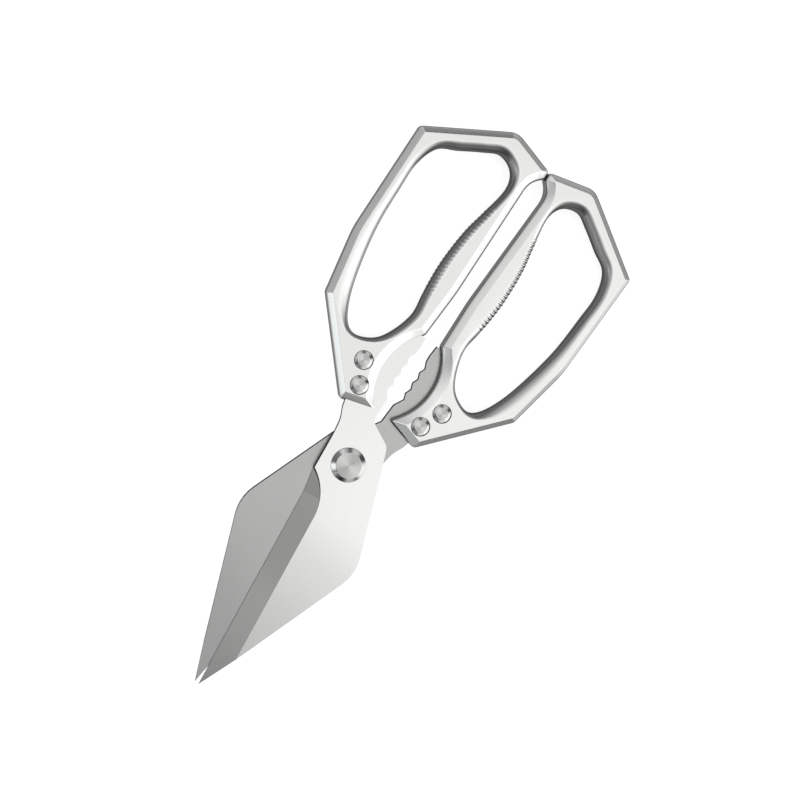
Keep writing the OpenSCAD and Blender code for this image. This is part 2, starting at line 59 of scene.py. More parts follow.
# %% The camera, from three turns, a distance and a scale
TURN_X = math.radians(0.45)
TURN_Y = math.radians(12.45)
TURN_Z = math.radians(-34.58)
CAMERA_D = 0.55
PIXELS_PER_MM = 2.6608
AIM = Vector((3, 31, 4.5)) * MM
AIM_OFF = (0.63, -0.27)
FRAME_PIXELS = 800
SENSOR = 36


def new_object(name, data):
    piece = bpy.data.objects.new(name, data)
    bpy.context.collection.objects.link(piece)
    return piece


def camera_axes():
    turn = Matrix.Rotation(TURN_Z, 3, "Z")
    turn = turn @ Matrix.Rotation(TURN_X, 3, "X")
    turn = turn @ Matrix.Rotation(TURN_Y, 3, "Y")
    return [Vector(row) for row in turn]


right, up, backward = camera_axes()
camera = new_object("camera", bpy.data.cameras.new("camera"))
camera.data.sensor_width = SENSOR
camera.data.lens = SENSOR * PIXELS_PER_MM * CAMERA_D / MM / FRAME_PIXELS
camera.data.clip_start = 0.01
camera.data.clip_end = 20
aside = (right * AIM_OFF[0] + up * AIM_OFF[1]) * MM / PIXELS_PER_MM
camera_turn = Matrix((right, up, backward)).transposed().to_4x4()
camera.matrix_world = Matrix.Translation(AIM - aside + backward * CAMERA_D) @ camera_turn
bpy.context.scene.camera = camera
bpy.context.scene.view_settings.view_transform = "Standard"
print("lens:", round(camera.data.lens, 1), "mm")

# %% [markdown]
# ## Light
# Polished metal has almost no colour of its own: it shows what stands around it. A photographer
# puts soft light on several sides of the shears and leaves the gaps between them dark, so each
# face turns bright or dark by the way it points. The same can be painted into the world as soft
# patches on a dim room. Each patch has a direction, an angle up to which it is full, an angle at
# which it has faded out, and a colour. Lamps could do it too, but a patch has no size or distance
# to keep, and it lights the shears alike wherever they lie.

# %% The world: a dim room with twelve soft patches of light
PATCHES = [
    ((-0.68, 0.68, 0.28), 8, 27, (0.42, 0.42, 0.43)),
    ((0.69, -0.68, 0.25), 8, 26, (0.55, 0.55, 0.54)),
    ((0.63, -0.54, 0.56), 2, 34, (0.64, 0.64, 0.64)),
    ((-0.24, -0.97, 0.03), 2, 20, (1.02, 1.02, 1.01)),
    ((0.09, 0.16, 0.98), 12, 41, (0.88, 0.88, 0.875)),
    ((-0.55, 0.16, 0.82), 11, 39, (0.43, 0.43, 0.43)),
    ((-0.64, -0.70, 0.32), 2, 22, (1.16, 1.22, 1.25)),
    ((-0.03, -0.90, 0.44), 4, 22, (0.38, 0.40, 0.41)),
    ((-0.96, -0.03, 0.27), 30, 66, (0.45, 0.45, 0.45)),
    ((0.94, 0.10, 0.32), 17, 35, (1.46, 1.46, 1.45)),
    ((0.13, 0.87, 0.47), 4, 26, (0.82, 0.82, 0.82)),
    ((0.65, -0.04, 0.76), 12, 30, (0.63, 0.63, 0.63)),
]
ROOM = (0.095, 0.096, 0.098)


def add(tree, kind, **inputs):
    """Add a node. i0, i1 and so on are its input sockets by number, other names are its settings."""
    node = tree.nodes.new(kind)
    for name, value in inputs.items():
        socket = node.inputs[int(name[1:])] if name[0] == "i" and name[1:].isdigit() else None
        if socket is None:
            setattr(node, name, value)
        elif isinstance(value, bpy.types.NodeSocket):
            tree.links.new(value, socket)
        else:
            socket.default_value = value
    return node


def patch_of_light(tree, direction, toward, inner, outer, colour):
    unit = Vector(toward).normalized()
    dot = add(tree, "ShaderNodeVectorMath", operation="DOT_PRODUCT", i0=direction, i1=unit)
    faded = math.cos(math.radians(outer))
    full = math.cos(math.radians(inner))
    spread = add(tree, "ShaderNodeMapRange", interpolation_type="SMOOTHSTEP", i0=dot.outputs["Value"],
                 i1=faded, i2=full, i3=0.0, i4=1.0)
    light = add(tree, "ShaderNodeVectorMath", operation="SCALE", i0=colour, i3=spread.outputs[0])
    return light.outputs[0]


def make_world():
    world = bpy.data.worlds.new("studio")
    bpy.context.scene.world = world
    world.use_nodes = True
    tree = world.node_tree
    tree.nodes.clear()
    direction = tree.nodes.new("ShaderNodeTexCoord").outputs["Generated"]
    total = add(tree, "ShaderNodeCombineXYZ", i0=ROOM[0], i1=ROOM[1], i2=ROOM[2])
    for patch in PATCHES:
        lit = patch_of_light(tree, direction, *patch)
        total = add(tree, "ShaderNodeVectorMath", operation="ADD", i0=total.outputs[0], i1=lit)
    studio = add(tree, "ShaderNodeBackground", i0=total.outputs[0], i1=1.0)
    white = add(tree, "ShaderNodeBackground", i0=(1, 1, 1, 1), i1=1.0)
    seen = tree.nodes.new("ShaderNodeLightPath").outputs["Is Camera Ray"]
    mix = add(tree, "ShaderNodeMixShader", i0=seen, i1=studio.outputs[0], i2=white.outputs[0])
    add(tree, "ShaderNodeOutputWorld", i0=mix.outputs[0])
    return len(tree.nodes)


print("world nodes:", make_world())

# %% [markdown]
# The shears lie on a plain white sheet. To the camera and to the metal it glows enough to come out
# white, and the rest of its brightness is real light, so it still darkens close to the shears. It
# lies a hair under the lowest faces, because two faces in one plane would flicker.

# %% The floor
FLOOR_GLOW = 0.8
FLOOR_COLOUR = (0.45, 0.45, 0.45, 1)
FLOOR_HALF = 1600 * MM
FLOOR_Z = -0.02 * MM


def make_floor():
    mesh = bpy.data.meshes.new("floor")
    ends = (-FLOOR_HALF, FLOOR_HALF)
    corners = [(x, y, FLOOR_Z) for y in ends for x in ends]
    mesh.from_pydata(corners, [], [(0, 1, 3, 2)])
    floor = new_object("floor", mesh)
    material = bpy.data.materials.new("white_floor")
    material.use_nodes = True
    tree = material.node_tree
    tree.nodes.clear()
    paper = add(tree, "ShaderNodeBsdfDiffuse", i0=FLOOR_COLOUR)
    glow = add(tree, "ShaderNodeEmission", i0=(1, 1, 1, 1), i1=FLOOR_GLOW)
    path = tree.nodes.new("ShaderNodeLightPath")
    seen = add(tree, "ShaderNodeMath", operation="MAXIMUM", i0=path.outputs["Is Camera Ray"],
               i1=path.outputs["Is Glossy Ray"])
    seen = add(tree, "ShaderNodeMath", operation="MAXIMUM", i0=seen.outputs[0],
               i1=path.outputs["Is Transmission Ray"])
    none = add(tree, "ShaderNodeEmission", i0=(0, 0, 0, 1), i1=0.0)
    extra = add(tree, "ShaderNodeMixShader", i0=seen.outputs[0], i1=none.outputs[0], i2=glow.outputs[0])
    both = add(tree, "ShaderNodeAddShader", i0=paper.outputs[0], i1=extra.outputs[0])
    add(tree, "ShaderNodeOutputMaterial", i0=both.outputs[0])
    mesh.materials.append(material)
    return floor


print("floor:", make_floor().name)

# %% [markdown]
# ## Metal
# Here part of the light on the metal is painted into its colour. The castings get painted shade on their
# steep walls and in corners, with a painted highlight a little past the flats, and the blades get painted
# shade that changes along them, mostly darker towards the tip. Painting that by hand needs an image. Here a
# colour ramp does it: one reads how steep a face is, and another where it lies along the shears. A turn makes
# faces towards one side count as steeper or flatter than they are, so that they get more painted shade or
# more painted light.

# %% Shading by slope and by length
def fill_ramp(ramp, stops):
    while len(ramp.elements) < len(stops):
        ramp.elements.new(0.5)
    for element, (place, kept) in zip(ramp.elements, stops):
        element.position = place
        element.color = (kept, kept, kept, 1)


def facing(tree, sideways, direction, least):
    """How far a face looks towards a direction, seen from above: 0 up to least, then rising."""
    match = add(tree, "ShaderNodeVectorMath", operation="DOT_PRODUCT", i0=sideways, i1=direction)
    over = add(tree, "ShaderNodeMath", operation="SUBTRACT", i0=match.outputs["Value"], i1=least)
    return add(tree, "ShaderNodeMath", operation="MAXIMUM", i0=over.outputs[0], i1=0.0).outputs[0]


def painted_shade_by_slope(tree, stops, turns):
    """Painted shade by slope: the share of its colour that a face keeps, 0 on the ramp for a flat face and 1
    for an upright wall.

    Each turn is (direction, least, gain): a face towards it counts as steeper by gain times how far it looks
    there, which paints more shade on it, and as flatter, with more painted light, where the gain is below 0."""
    normal = tree.nodes.new("ShaderNodeTexCoord").outputs["Normal"]
    parts = add(tree, "ShaderNodeSeparateXYZ", i0=normal)
    level = add(tree, "ShaderNodeMath", operation="ABSOLUTE", i0=parts.outputs[2])
    angle = add(tree, "ShaderNodeMath", operation="ARCCOSINE", i0=level.outputs[0])
    share = add(tree, "ShaderNodeMath", operation="DIVIDE", i0=angle.outputs[0], i1=math.pi / 2)
    across = add(tree, "ShaderNodeVectorMath", operation="MULTIPLY", i0=normal, i1=(1, 1, 0))
    sideways = add(tree, "ShaderNodeVectorMath", operation="NORMALIZE", i0=across.outputs[0])
    for direction, least, gain in turns:
        toward = facing(tree, sideways.outputs[0], direction, least)
        scale = add(tree, "ShaderNodeMath", operation="MULTIPLY_ADD", i0=toward, i1=gain, i2=1.0)
        share = add(tree, "ShaderNodeMath", operation="MULTIPLY", i0=share.outputs[0], i1=scale.outputs[0])
    ramp = add(tree, "ShaderNodeValToRGB", i0=share.outputs[0])
    fill_ramp(ramp.color_ramp, stops)
    return ramp.outputs[0]


def painted_shade_by_length(tree, where, stops):
    """Painted shade along the shears: the share of its colour that a face keeps at each Y; the stops are (Y
    in mm, share).
    """
    parts = add(tree, "ShaderNodeSeparateXYZ", i0=where)
    low, high = stops[0][0], stops[-1][0]
    place = add(tree, "ShaderNodeMapRange", i0=parts.outputs[1], i1=low * MM, i2=high * MM, i3=0.0, i4=1.0)
    ramp = add(tree, "ShaderNodeValToRGB", i0=place.outputs[0])
    fill_ramp(ramp.color_ramp, [((y - low) / (high - low), kept) for y, kept in stops])
    return ramp.outputs[0]


# %% [markdown]
# Every finish here is metal whose roughness and tiny bumps come from noise. Stretching the noise
# along one axis turns grains into brush lines, and bending it round an axis gives turned rings.
# A second, coarse noise makes faint clouds in the colour.

# %% A helper that builds one metal
CLOUD_SCALE = 38.0
FINE_DETAIL, CLOUD_DETAIL, RING_DETAIL = 4.0, 3.0, 2.0
NOISE_LOW, NOISE_HIGH = 0.3, 0.7
QUARTER_TURN = 0.25


def metal(name, colour, roughness, stretch=(1, 1, 1), grain=900.0, bump=0.05, tone=0.04, vary=0.06,
          anisotropic=0.0, tangent=None, rings=None, slope=None, edge_tint=1.0, length=None, speckle=0.5,
          turns=()):
    material = bpy.data.materials.new(name)
    material.use_nodes = True
    tree = material.node_tree
    shader = tree.nodes["Principled BSDF"]
    shader.inputs["Metallic"].default_value = 1.0
    shader.inputs["Anisotropic"].default_value = anisotropic
    shader.inputs["Anisotropic Rotation"].default_value = QUARTER_TURN
    shader.inputs["Specular Tint"].default_value = (edge_tint, edge_tint, edge_tint, 1)
    where = tree.nodes.new("ShaderNodeTexCoord").outputs["Object"]
    place = add(tree, "ShaderNodeMapping", i0=where)
    place.inputs["Scale"].default_value = stretch
    fine = add(tree, "ShaderNodeTexNoise", i0=place.outputs[0])
    fine.inputs["Scale"].default_value = grain
    fine.inputs["Detail"].default_value = FINE_DETAIL
    cloud = add(tree, "ShaderNodeTexNoise", i0=where)
    cloud.inputs["Scale"].default_value = CLOUD_SCALE
    cloud.inputs["Detail"].default_value = CLOUD_DETAIL
    mixed = add(tree, "ShaderNodeMath", operation="MULTIPLY_ADD", i0=fine.outputs["Fac"], i1=speckle,
                i2=cloud.outputs["Fac"])
    low = NOISE_LOW * (1 + speckle)
    high = NOISE_HIGH * (1 + speckle)
    level = add(tree, "ShaderNodeMapRange", i0=mixed.outputs[0], i1=low, i2=high, i3=1 - tone, i4=1 + tone)
    paint = add(tree, "ShaderNodeVectorMath", operation="SCALE", i0=colour, i3=level.outputs[0])
    # The slope and length ramps paint shade, and a little highlight, into the base colour.
    if slope:
        paint = add(tree, "ShaderNodeVectorMath", operation="MULTIPLY", i0=paint.outputs[0],
                    i1=painted_shade_by_slope(tree, slope, turns))
    if length:
        paint = add(tree, "ShaderNodeVectorMath", operation="MULTIPLY", i0=paint.outputs[0],
                    i1=painted_shade_by_length(tree, where, length))
    tree.links.new(paint.outputs[0], shader.inputs["Base Color"])
    rough = add(tree, "ShaderNodeMapRange", i0=fine.outputs["Fac"], i1=NOISE_LOW, i2=NOISE_HIGH,
                i3=roughness - vary, i4=roughness + vary)
    tree.links.new(rough.outputs[0], shader.inputs["Roughness"])
    height = turned_rings(tree, where, rings) if rings else fine.outputs["Fac"]
    relief = tree.nodes.new("ShaderNodeBump")
    relief.inputs["Strength"].default_value = 1.0
    relief.inputs["Distance"].default_value = bump * MM
    tree.links.new(height, relief.inputs["Height"])
    tree.links.new(relief.outputs[0], shader.inputs["Normal"])
    if tangent:
        around = tree.nodes.new("ShaderNodeTangent")
        around.direction_type = "RADIAL"
        around.axis = tangent
        tree.links.new(around.outputs[0], shader.inputs["Tangent"])
    return material


def turned_rings(tree, where, rings):
    flat = add(tree, "ShaderNodeVectorMath", operation="MULTIPLY", i0=where, i1=(1, 1, 0))
    radius = add(tree, "ShaderNodeVectorMath", operation="LENGTH", i0=flat.outputs[0])
    line = add(tree, "ShaderNodeTexNoise", noise_dimensions="1D")
    line.inputs["Scale"].default_value = rings
    line.inputs["Detail"].default_value = RING_DETAIL
    tree.links.new(radius.outputs["Value"], line.inputs["W"])
    return line.outputs["Fac"]


# %% [markdown]
# The handles are cast and satin blasted, so their grain runs no particular way. Three finishes share one
# metal: satin_cast on the flats, the gap side and the ends, edge_cast on the outer chamfers and sides, with a
# little more painted shade where they are steep, and a third in the finger hole, whose rounding gets painted
# shade sooner and which has a softer shine. In all three, painted shade darkens steep faces and a painted
# highlight brightens faces a little past the flats. They differ only in their ramps, their turns and their
# roughness, so one helper makes all three.

# %% The castings' finishes
# Painted shade and highlight: each ramp darkens steep faces and lifts those a little past the flats above 1,
# and each turn paints more shade on faces that look its way, or more light where its gain is below 0.
CAST_SLOPE = [(0.0, 0.94), (0.06, 1.0), (0.16, 1.08), (0.30, 1.0), (0.37, 0.92), (0.46, 0.78), (0.6, 0.48),
              (0.8, 0.36), (1.0, 0.36)]
CAST_TURNS = [((0.27, -0.96, 0), 0.86, 3.5), ((-0.8, -0.6, 0), 0.8, 1.1), ((-0.8, 0.6, 0), 0.8, 1.4)]
EDGE_SLOPE = [(0.0, 0.94), (0.16, 1.0), (0.37, 0.9), (0.46, 0.78), (0.6, 0.45), (0.72, 0.28), (0.85, 0.3),
              (1.0, 0.34)]
EDGE_TURNS = [((0.74, -0.67, 0), 0.75, 2.2), ((0.4, 0.92, 0), 0.8, 2.0), ((-0.55, 0.83, 0), 0.8, 1.0)]
RIM_SLOPE = [(0.0, 0.96), (0.06, 1.06), (0.11, 1.0), (0.19, 0.82), (0.29, 0.6), (0.42, 0.42), (0.6, 0.24),
             (0.85, 0.14), (1.0, 0.17)]
RIM_TURNS = [((0.55, -0.83, 0), 0.55, 6.0), ((-0.5, -0.87, 0), 0.75, -0.6), ((1, 0, 0), 0.0, -0.5)]
SATIN, HOLE_SATIN = 0.27, 0.36
CAST_GREY = (0.83, 0.83, 0.82)


def cast_metal(name, roughness, slope, turns):
    return metal(name, CAST_GREY, roughness, grain=1500, bump=0.0001, tone=0.02, vary=0.01,
                 slope=slope, edge_tint=0.35, speckle=0.15, turns=turns)


satin_cast = cast_metal("satin_cast", SATIN, CAST_SLOPE, CAST_TURNS)
edge_cast = cast_metal("edge_cast", SATIN, EDGE_SLOPE, EDGE_TURNS)
hole_shade_cast = cast_metal("hole_shade_cast", HOLE_SATIN, RIM_SLOPE, RIM_TURNS)
print("cast finishes:", satin_cast.name, edge_cast.name, hole_shade_cast.name)

# %% [markdown]
# The blades are ground. A fine brush runs along the outer face, and the bevel is ground square to the edge.
# The bevel and the inner face get darker colours than the outer face: for the bevel that is painted shade,
# for the inner face it is partly its different grind and partly painted shade. Their side walls get painted
# shade that makes them nearly black, which PLATE_SLOPE gives. Each of the three faces gets painted shade that
# changes along the blade by a ramp of its own, because they darken at different places.

# %% The blades' finishes
# Painted shade: PLATE_SLOPE darkens the side walls nearly to black, and FACE_LENGTH darkens the outer face
# towards the tip.
PLATE_SLOPE = [(0.0, 1.0), (0.5, 0.6), (0.9, 0.03)]
FACE_LENGTH = [(-100, 0.65), (-75, 0.695), (-60, 0.73), (-45, 0.815), (-37, 0.85), (-30, 0.915), (-22, 0.985),
               (-15, 1.0), (5, 1.0), (35, 0.93)]
ground_face = metal("ground_face", (0.86, 0.86, 0.85), 0.26, stretch=(1, 0.12, 1), grain=2200, bump=0.0004,
                    tone=0.015, vary=0.03, slope=PLATE_SLOPE, edge_tint=0.35, length=FACE_LENGTH)
# Painted shade: the bevel's grey is darker than the outer face's, and BEVEL_LENGTH changes it along the
# blade.
BEVEL_LENGTH = [(-100, 0.87), (-90, 0.94), (-75, 1.0), (-60, 0.97), (-45, 0.81), (-30, 0.76), (0, 0.74)]
ground_bevel = metal("ground_bevel", (0.452, 0.45, 0.444), 0.24, stretch=(0.15, 1, 1), grain=2500, bump=0.001,
                     tone=0.02, vary=0.03, length=BEVEL_LENGTH)
# Partly painted shade: the inner face's grey is darker than the outer face's, and INNER_LENGTH darkens it
# towards the tip.
INNER_LENGTH = [(-100, 0.83), (-75, 0.86), (-60, 0.9), (-45, 0.97), (-30, 1.0), (0, 1.0)]
inner_face = metal("inner_face", (0.47, 0.47, 0.465), 0.3, stretch=(1, 0.2, 1), grain=2000, bump=0.001,
                   tone=0.03, vary=0.05, length=INNER_LENGTH)
print("blade finishes:", ground_face.name, ground_bevel.name, inner_face.name)

# %% [markdown]
# The pivot and the rivets come off a lathe. Its tool leaves rings too fine to see, but they stretch each
# highlight into a bright fan, as on the back of a pan. So the faces get rings of noise and an anisotropic
# shine round their axis. The rims get a smoother steel with painted shade in its colour: darker where it is
# steep, and more so on the sides that face -X and -Y.

# %% The turned pieces' finishes
TURNED_GREY = (0.58, 0.575, 0.57)
turned_face = metal("turned_face", TURNED_GREY, 0.38, bump=0.002, tone=0.04, anisotropic=0.85,
                    tangent="Z", rings=9000)
# Painted shade: RING_SLOPE darkens the rims where they are steep, and RING_TURNS darkens their sides towards
# -X and -Y more.
RING_SLOPE = [(0.0, 1.0), (0.45, 1.0), (0.56, 0.4), (0.8, 0.25)]
RING_TURNS = [((-1, 0, 0), 0.85, 3.4), ((0, -1, 0), 0.85, 3.4)]
turned_rim = metal("turned_rim", TURNED_GREY, 0.14, bump=0.0005, tone=0.04, vary=0.02,
                   slope=RING_SLOPE, turns=RING_TURNS)
plain_washer = metal("plain_washer", (0.45, 0.45, 0.45), 0.35, bump=0.004)
print("turned finishes:", turned_face.name, turned_rim.name, plain_washer.name)

# %% [markdown]
# ## Blades
# The blades are flat plates with crisp ground edges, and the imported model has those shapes
# exactly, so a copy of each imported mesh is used. Only the shading of its level faces is set
# again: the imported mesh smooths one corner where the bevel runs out, and a large triangle that
# starts there would show a step in the light. Each face then gets its finish by the way it
# points: the sloping face is the bevel, and the face towards the other blade is the inner one.

# %% Finishes on the blades, face by face
LEVEL = 0.9995
OUTER_LEAN, WALL_LEAN = 0.985, 0.5
OUTER_FACE, BEVEL, INNER_FACE = 0, 1, 2


def shade_level_faces(mesh):
    """Give the corners of level faces the level normal, so that no large triangle shades unevenly."""
    normals = [corner.vector.copy() for corner in mesh.corner_normals]
    for face in mesh.polygons:
        if abs(face.normal.z) > LEVEL:
            for k in face.loop_indices:
                normals[k] = (0, 0, math.copysign(1, face.normal.z))
    mesh.normals_split_custom_set(normals)


def finish_of(lean):
    """Which finish a face has, from how far it leans towards the blade's outer side."""
    if lean > OUTER_LEAN or abs(lean) < WALL_LEAN:
        return OUTER_FACE
    return INNER_FACE if lean < 0 else BEVEL


def dress_blade(node, outer_up, body):
    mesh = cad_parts[node].data.copy()
    shade_level_faces(mesh)
    mesh.materials.clear()
    for finish in (ground_face, ground_bevel, inner_face):
        mesh.materials.append(finish)
    count = [0, 0, 0]
    for face in mesh.polygons:
        face.material_index = finish_of(face.normal.z if outer_up else -face.normal.z)
        count[face.material_index] += 1
    blade = new_object(node + "_steel", mesh)
    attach(blade, body)
    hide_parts(node)
    print(blade.name, "faces on outer, bevel, inner:", count)


dress_blade("front_blade", True, "front_half")
dress_blade("rear_blade", False, "rear_half")

# %% [markdown]
# ## Handles
# Each handle is one casting: a bow of even thickness with straight chamfered outer edges, a finger
# hole with rounded rims, and fine ribs on the grip side. A bevelled box can't give that, but a loft
# can: the outline is drawn once as corners, and every level of the section is that outline moved
# inwards a little. First come small helpers for outlines. A corner's arc may take up only part of
# the shorter edge beside it: nearly all of it where the arc is long, less where it is tight.

# %% Outline helpers
ARC_STEP = math.radians(4)
LEAST_STEPS = 5
STEP_SLACK = 0.01
LONG_RADIUS = 5
LONG_SHARE, TIGHT_SHARE = 0.96, 0.4
SMALLEST_RADIUS = 0.4


def left_of(v):
    return Vector((-v.y, v.x))


def edges_at(points, i):
    before = (points[i] - points[i - 1]).normalized()
    after = (points[(i + 1) % len(points)] - points[i]).normalized()
    return before, after


def moved_in(corners, share):
    """Corners (point, radius, width of the edge that starts here) with each edge moved in by its share."""
    points = [point for point, _, _ in corners]
    out = []
    for i, (point, radius, width) in enumerate(corners):
        a, b = edges_at(points, i)
        shift = (b * corners[i - 1][2] - a * width) * share / a.cross(b)
        radius -= math.copysign(share * width, a.cross(b))
        out.append((point + shift, max(radius, SMALLEST_RADIUS)))
    return out


def rounded(corners):
    """Closed outline in which each corner (point, radius) is an arc.

    Each point of it is (x, y, number of its corner)."""
    points = [point for point, _ in corners]
    ring = []
    for i, (corner, radius) in enumerate(corners):
        a, b = edges_at(points, i)
        bend = math.atan2(a.cross(b), a.dot(b))
        room = min((corner - points[i - 1]).length, (points[(i + 1) % len(points)] - corner).length)
        share = LONG_SHARE if radius > LONG_RADIUS else TIGHT_SHARE
        reach = min(radius * math.tan(abs(bend) / 2), share * room)
        arc = math.copysign(reach / math.tan(abs(bend) / 2), bend)
        centre = corner - a * reach + left_of(a) * arc
        steps = max(LEAST_STEPS, math.ceil(abs(bend) / ARC_STEP - STEP_SLACK))
        for k in range(steps + 1):
            w = bend * k / steps
            place = centre - (left_of(a) * math.cos(w) - a * math.sin(w)) * arc
            ring.append((place.x, place.y, i))
    return ring


# %% [markdown]
# The handle's corners go round against the clock, seen from the front, as a draughtsman would mark
# them on the sheet before any rounding. Each has its place, its radius and the width of the chamfer
# on the edge that starts there. The chamfers along the gap, round the recess for the jaw and at the
# collar's end are wider than the outer ones, as on the real handle.

# %% The right handle's outline
COLLAR, ELBOW, KNEE = Vector((17.1, 18.8)), Vector((43.9, 48.3)), Vector((48.8, 73.6))
CORNER, APEX = Vector((49.8, 118.2)), Vector((18.4, 137.6))
NOSE_X, NOSE_Y, NOSE_H = 0.15, 132.7, 3.5
GAP_HALF, GAP_FLARE = 2.9, 1.1
RECESS_TOP = 56.2
OUTER_CHAMFER, END_CHAMFER = 2.4, 3.2
GAP_CHAMFER, RECESS_CHAMFER = 3.2, 3.4
CORNERS = [
    (Vector((3.4, 22.6)), 1, END_CHAMFER),
    (COLLAR, 2, OUTER_CHAMFER),
    (ELBOW, 2.5, OUTER_CHAMFER),
    (KNEE, 40, OUTER_CHAMFER),
    (CORNER, 1.6, OUTER_CHAMFER),
    (APEX, 7, OUTER_CHAMFER),
    (Vector((NOSE_X, NOSE_Y)), 1.8, GAP_CHAMFER),
    (Vector((NOSE_X, NOSE_Y - NOSE_H)), 1.4, GAP_CHAMFER),
    (Vector((GAP_HALF + 1.2, NOSE_Y - NOSE_H - 3.8)), 9, GAP_CHAMFER),
    (Vector((GAP_HALF, KNEE.y + 2)), 90, GAP_CHAMFER),
    (Vector((GAP_HALF + 0.8, RECESS_TOP)), 2, RECESS_CHAMFER),
    (Vector((16.9, 40.4)), 23.7, RECESS_CHAMFER),
]
print("points in the outline:", len(rounded(moved_in(CORNERS, 0))))

# %% [markdown]
# The finger hole has no straight parts, so it is a smooth curve through a few points. They are
# placed from the wall that must remain beside them: rims on the outside, the limb on the inside.
# The third number of each point is how wide the wall's rounding is there. It is widest at the low
# outer side and narrow at the foot, so one fixed round wouldn't do.

# %% Sizes of the finger hole, and helpers that place a point beside a wall
HOLE_MID = (COLLAR.x + ELBOW.x) / 2 - 4.9
HOLE_BOTTOM = 41.7
LOW_RIM, HIGH_RIM, BAR_W = 8.7, 6.7, 8.2
WAIST_W, GRIP_W, NECK_W = 9.0, 11.1, 5.6
HOLE_ROUND, LOW_ROUND, BAR_ROUND, END_ROUND, FOOT_ROUND = 3.0, 5.2, 3.6, 2.2, 1.5


def mix(a, b, t):
    return a + (b - a) * t


def side_x(y):
    low, high = (ELBOW, KNEE) if y < KNEE.y else (KNEE, CORNER)
    return mix(low.x, high.x, (y - low.y) / (high.y - low.y))


def gap_x(y):
    return GAP_HALF + GAP_FLARE * max(0, (y - KNEE.y) / (CORNER.y - KNEE.y))


def under_bar(t):
    return mix(CORNER, APEX, t) + left_of((APEX - CORNER).normalized()) * BAR_W


def outer_side(y, wall, rounding):
    return Vector((side_x(y) - wall, y, rounding))


def grip_side(y, wall, rounding):
    return Vector((gap_x(y) + wall, y, rounding))


def bar_side(t, rounding, shift=(0, 0)):
    place = under_bar(t)
    return Vector((place.x + shift[0], place.y + shift[1], rounding))


# %% The points of the finger hole
HOLE = [
    Vector((HOLE_MID, HOLE_BOTTOM, FOOT_ROUND)),
    Vector((HOLE_MID + 5.1, HOLE_BOTTOM + 2.3, mix(FOOT_ROUND, LOW_ROUND, 0.35))),
    outer_side(52.5, LOW_RIM + 0.7, LOW_ROUND),
    outer_side(65, LOW_RIM - 0.5, LOW_ROUND),
    outer_side(80, HIGH_RIM + 0.5, mix(LOW_ROUND, HOLE_ROUND, 0.6)),
    outer_side(95, HIGH_RIM - 0.1, HOLE_ROUND),
    outer_side(106, HIGH_RIM, HOLE_ROUND),
    bar_side(0.185, HOLE_ROUND),
    bar_side(0.41, BAR_ROUND),
    bar_side(0.66, BAR_ROUND),
    bar_side(0.84, BAR_ROUND, (-0.6, -0.5)),
    Vector((gap_x(CORNER.y) + NECK_W + 2.6, under_bar(0.84).y - 2.9, mix(END_ROUND, BAR_ROUND, 0.7))),
    grip_side(CORNER.y + 0.2, NECK_W, END_ROUND),
    grip_side(107, mix(NECK_W, GRIP_W, 0.36), mix(END_ROUND, HOLE_ROUND, 0.6)),
    grip_side(96, mix(NECK_W, GRIP_W, 0.78), HOLE_ROUND),
    grip_side(82, GRIP_W - 0.1, HOLE_ROUND),
    grip_side(69, mix(WAIST_W, GRIP_W, 0.6), HOLE_ROUND),
    grip_side(60, WAIST_W + 0.2, mix(END_ROUND, HOLE_ROUND, 0.5)),
    grip_side(51, WAIST_W + 2.7, END_ROUND),
    Vector((HOLE_MID - 6.9, HOLE_BOTTOM + 3.1, FOOT_ROUND)),
]
FIRST_GRIP_POINT = 12
print("points given for the finger hole:", len(HOLE))

# %% [markdown]
# A Catmull-Rom curve goes through every one of these points and needs no handles. It is cut into
# short steps whose lengths are added up, so that a place on it can be given as a distance round
# the hole, and the ribs can be spaced evenly in millimetres.

# %% The curve of the finger hole, measured
def smooth_through(points, steps):
    """Catmull-Rom curve through a closed loop of points, with so many steps from each to the next."""
    out = []
    for i in range(len(points)):
        a, b, c, d = (points[(i + k) % len(points)] for k in (-1, 0, 1, 2))
        for k in range(steps):
            u = k / steps
            out.append((b * 2 + (c - a) * u + (a * 2 - b * 5 + c * 4 - d) * u ** 2
                        + (b * 3 - a - c * 3 + d) * u ** 3) / 2)
    return out


DENSE_STEPS = 40
dense = smooth_through(HOLE, DENSE_STEPS)
lengths = [0.0]
for a, b in zip(dense, dense[1:] + dense[:1]):
    lengths.append(lengths[-1] + (b - a).xy.length)
girth = lengths[-1]
print("way round the hole in mm:", round(girth, 1))


def along(s):
    s %= girth
    k = min(bisect.bisect_right(lengths, s) - 1, len(dense) - 1)
    return mix(dense[k], dense[(k + 1) % len(dense)], (s - lengths[k]) / (lengths[k + 1] - lengths[k]))


# %% [markdown]
# Fine ribs across the grip side keep the fingers from slipping. A bump texture would leave the
# hole's outline smooth, so they are real bumps in the wall, eight points to a rib, and they fade
# at both ends and towards the face. A station is a place on the way round the hole where the wall
# gets a column of points. They are close together on the ribs and wider apart elsewhere.

# %% Stations round the hole, with the ribs
RIB_PITCH, RIB_H, RIB_COUNT, RIB_START = 1.7, 0.36, 24, 69.5
RIB_AT_WALL = 0.4
POINTS_A_RIB = 8
PLAIN_STEP = 0.9
grip_points = range(FIRST_GRIP_POINT * DENSE_STEPS, len(dense))
ribs_end = next(lengths[k] for k in grip_points if dense[k].y <= RIB_START)
ribs_l = RIB_COUNT * RIB_PITCH


def rib_at(d):
    """Height of the ribs at d along the ribbed stretch."""
    fade = min(1, d / RIB_PITCH, (ribs_l - d) / RIB_PITCH)
    return RIB_H * fade * (0.5 - 0.5 * math.cos(2 * math.pi * d / RIB_PITCH))


